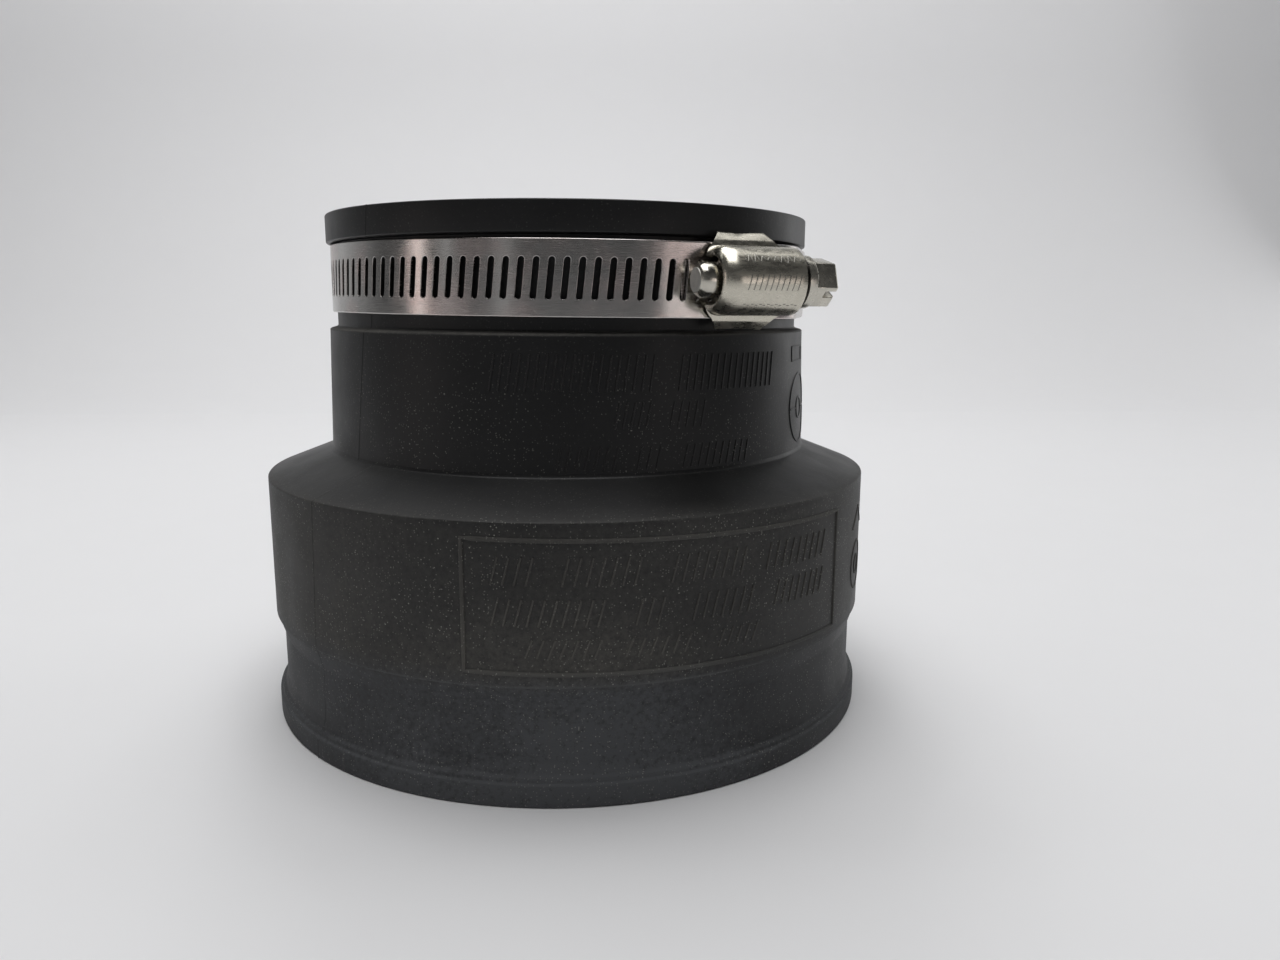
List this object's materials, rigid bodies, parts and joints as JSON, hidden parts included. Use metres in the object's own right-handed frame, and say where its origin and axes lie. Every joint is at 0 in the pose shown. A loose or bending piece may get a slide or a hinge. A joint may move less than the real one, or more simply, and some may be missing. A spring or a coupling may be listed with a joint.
{
  "type": "flexible reducing pipe coupling",
  "caption": "Flexible rubber reducing pipe coupling, stepped round sleeve with a slotted stainless worm-drive band clamp in its upper groove.",
  "frame": {"origin": "centre of the large end's rim face, at the bottom", "axes": "+Z along the bore from the large end to the small end; the clamp screw is on the -Y side, turned towards +X"},
  "size_m": [0.134, 0.134, 0.1056],
  "materials": {
    "sleeve_rubber": "black moulded elastomer, satin, dusty low down",
    "strip_steel": "rolled stainless strip with fine lengthwise scratches",
    "housing_steel": "pressed stainless sheet, softly worn",
    "screw_steel": "turned and headed steel screw"
  },
  "bodies": {
    "sleeve": {"flexible_sleeve": "sleeve_rubber"},
    "clamp_ring": {"clamp_band": "strip_steel"},
    "clamp_head": {"clamp_housing": "housing_steel", "clamp_saddle": "housing_steel"},
    "clamp_screw": {"worm_screw": "screw_steel"}
  },
  "joints": [
    {"name": "clamp_swivel", "type": "hinge", "parent": "sleeve", "child": "clamp_ring", "pos_m": [0, 0, 0.0924], "axis": [0, 0, 1], "continuous": true},
    {"name": "clamp_opening", "type": "slide", "parent": "clamp_ring", "child": "clamp_head", "axis": [0.3173, -0.9483, -0.0068], "range_m": [0, 0.00507], "deforming": ["clamp_band"]},
    {"name": "screw_turn", "type": "hinge", "parent": "clamp_head", "child": "clamp_screw", "pos_m": [0.03247, -0.04977, 0.09194], "axis": [0.9483, 0.3173, -0.0046], "range_deg": [0, 2160]}
  ],
  "couplings": [
    {"joint": "clamp_opening", "follows": "screw_turn", "m_per_rad": 0.00013445}
  ]
}
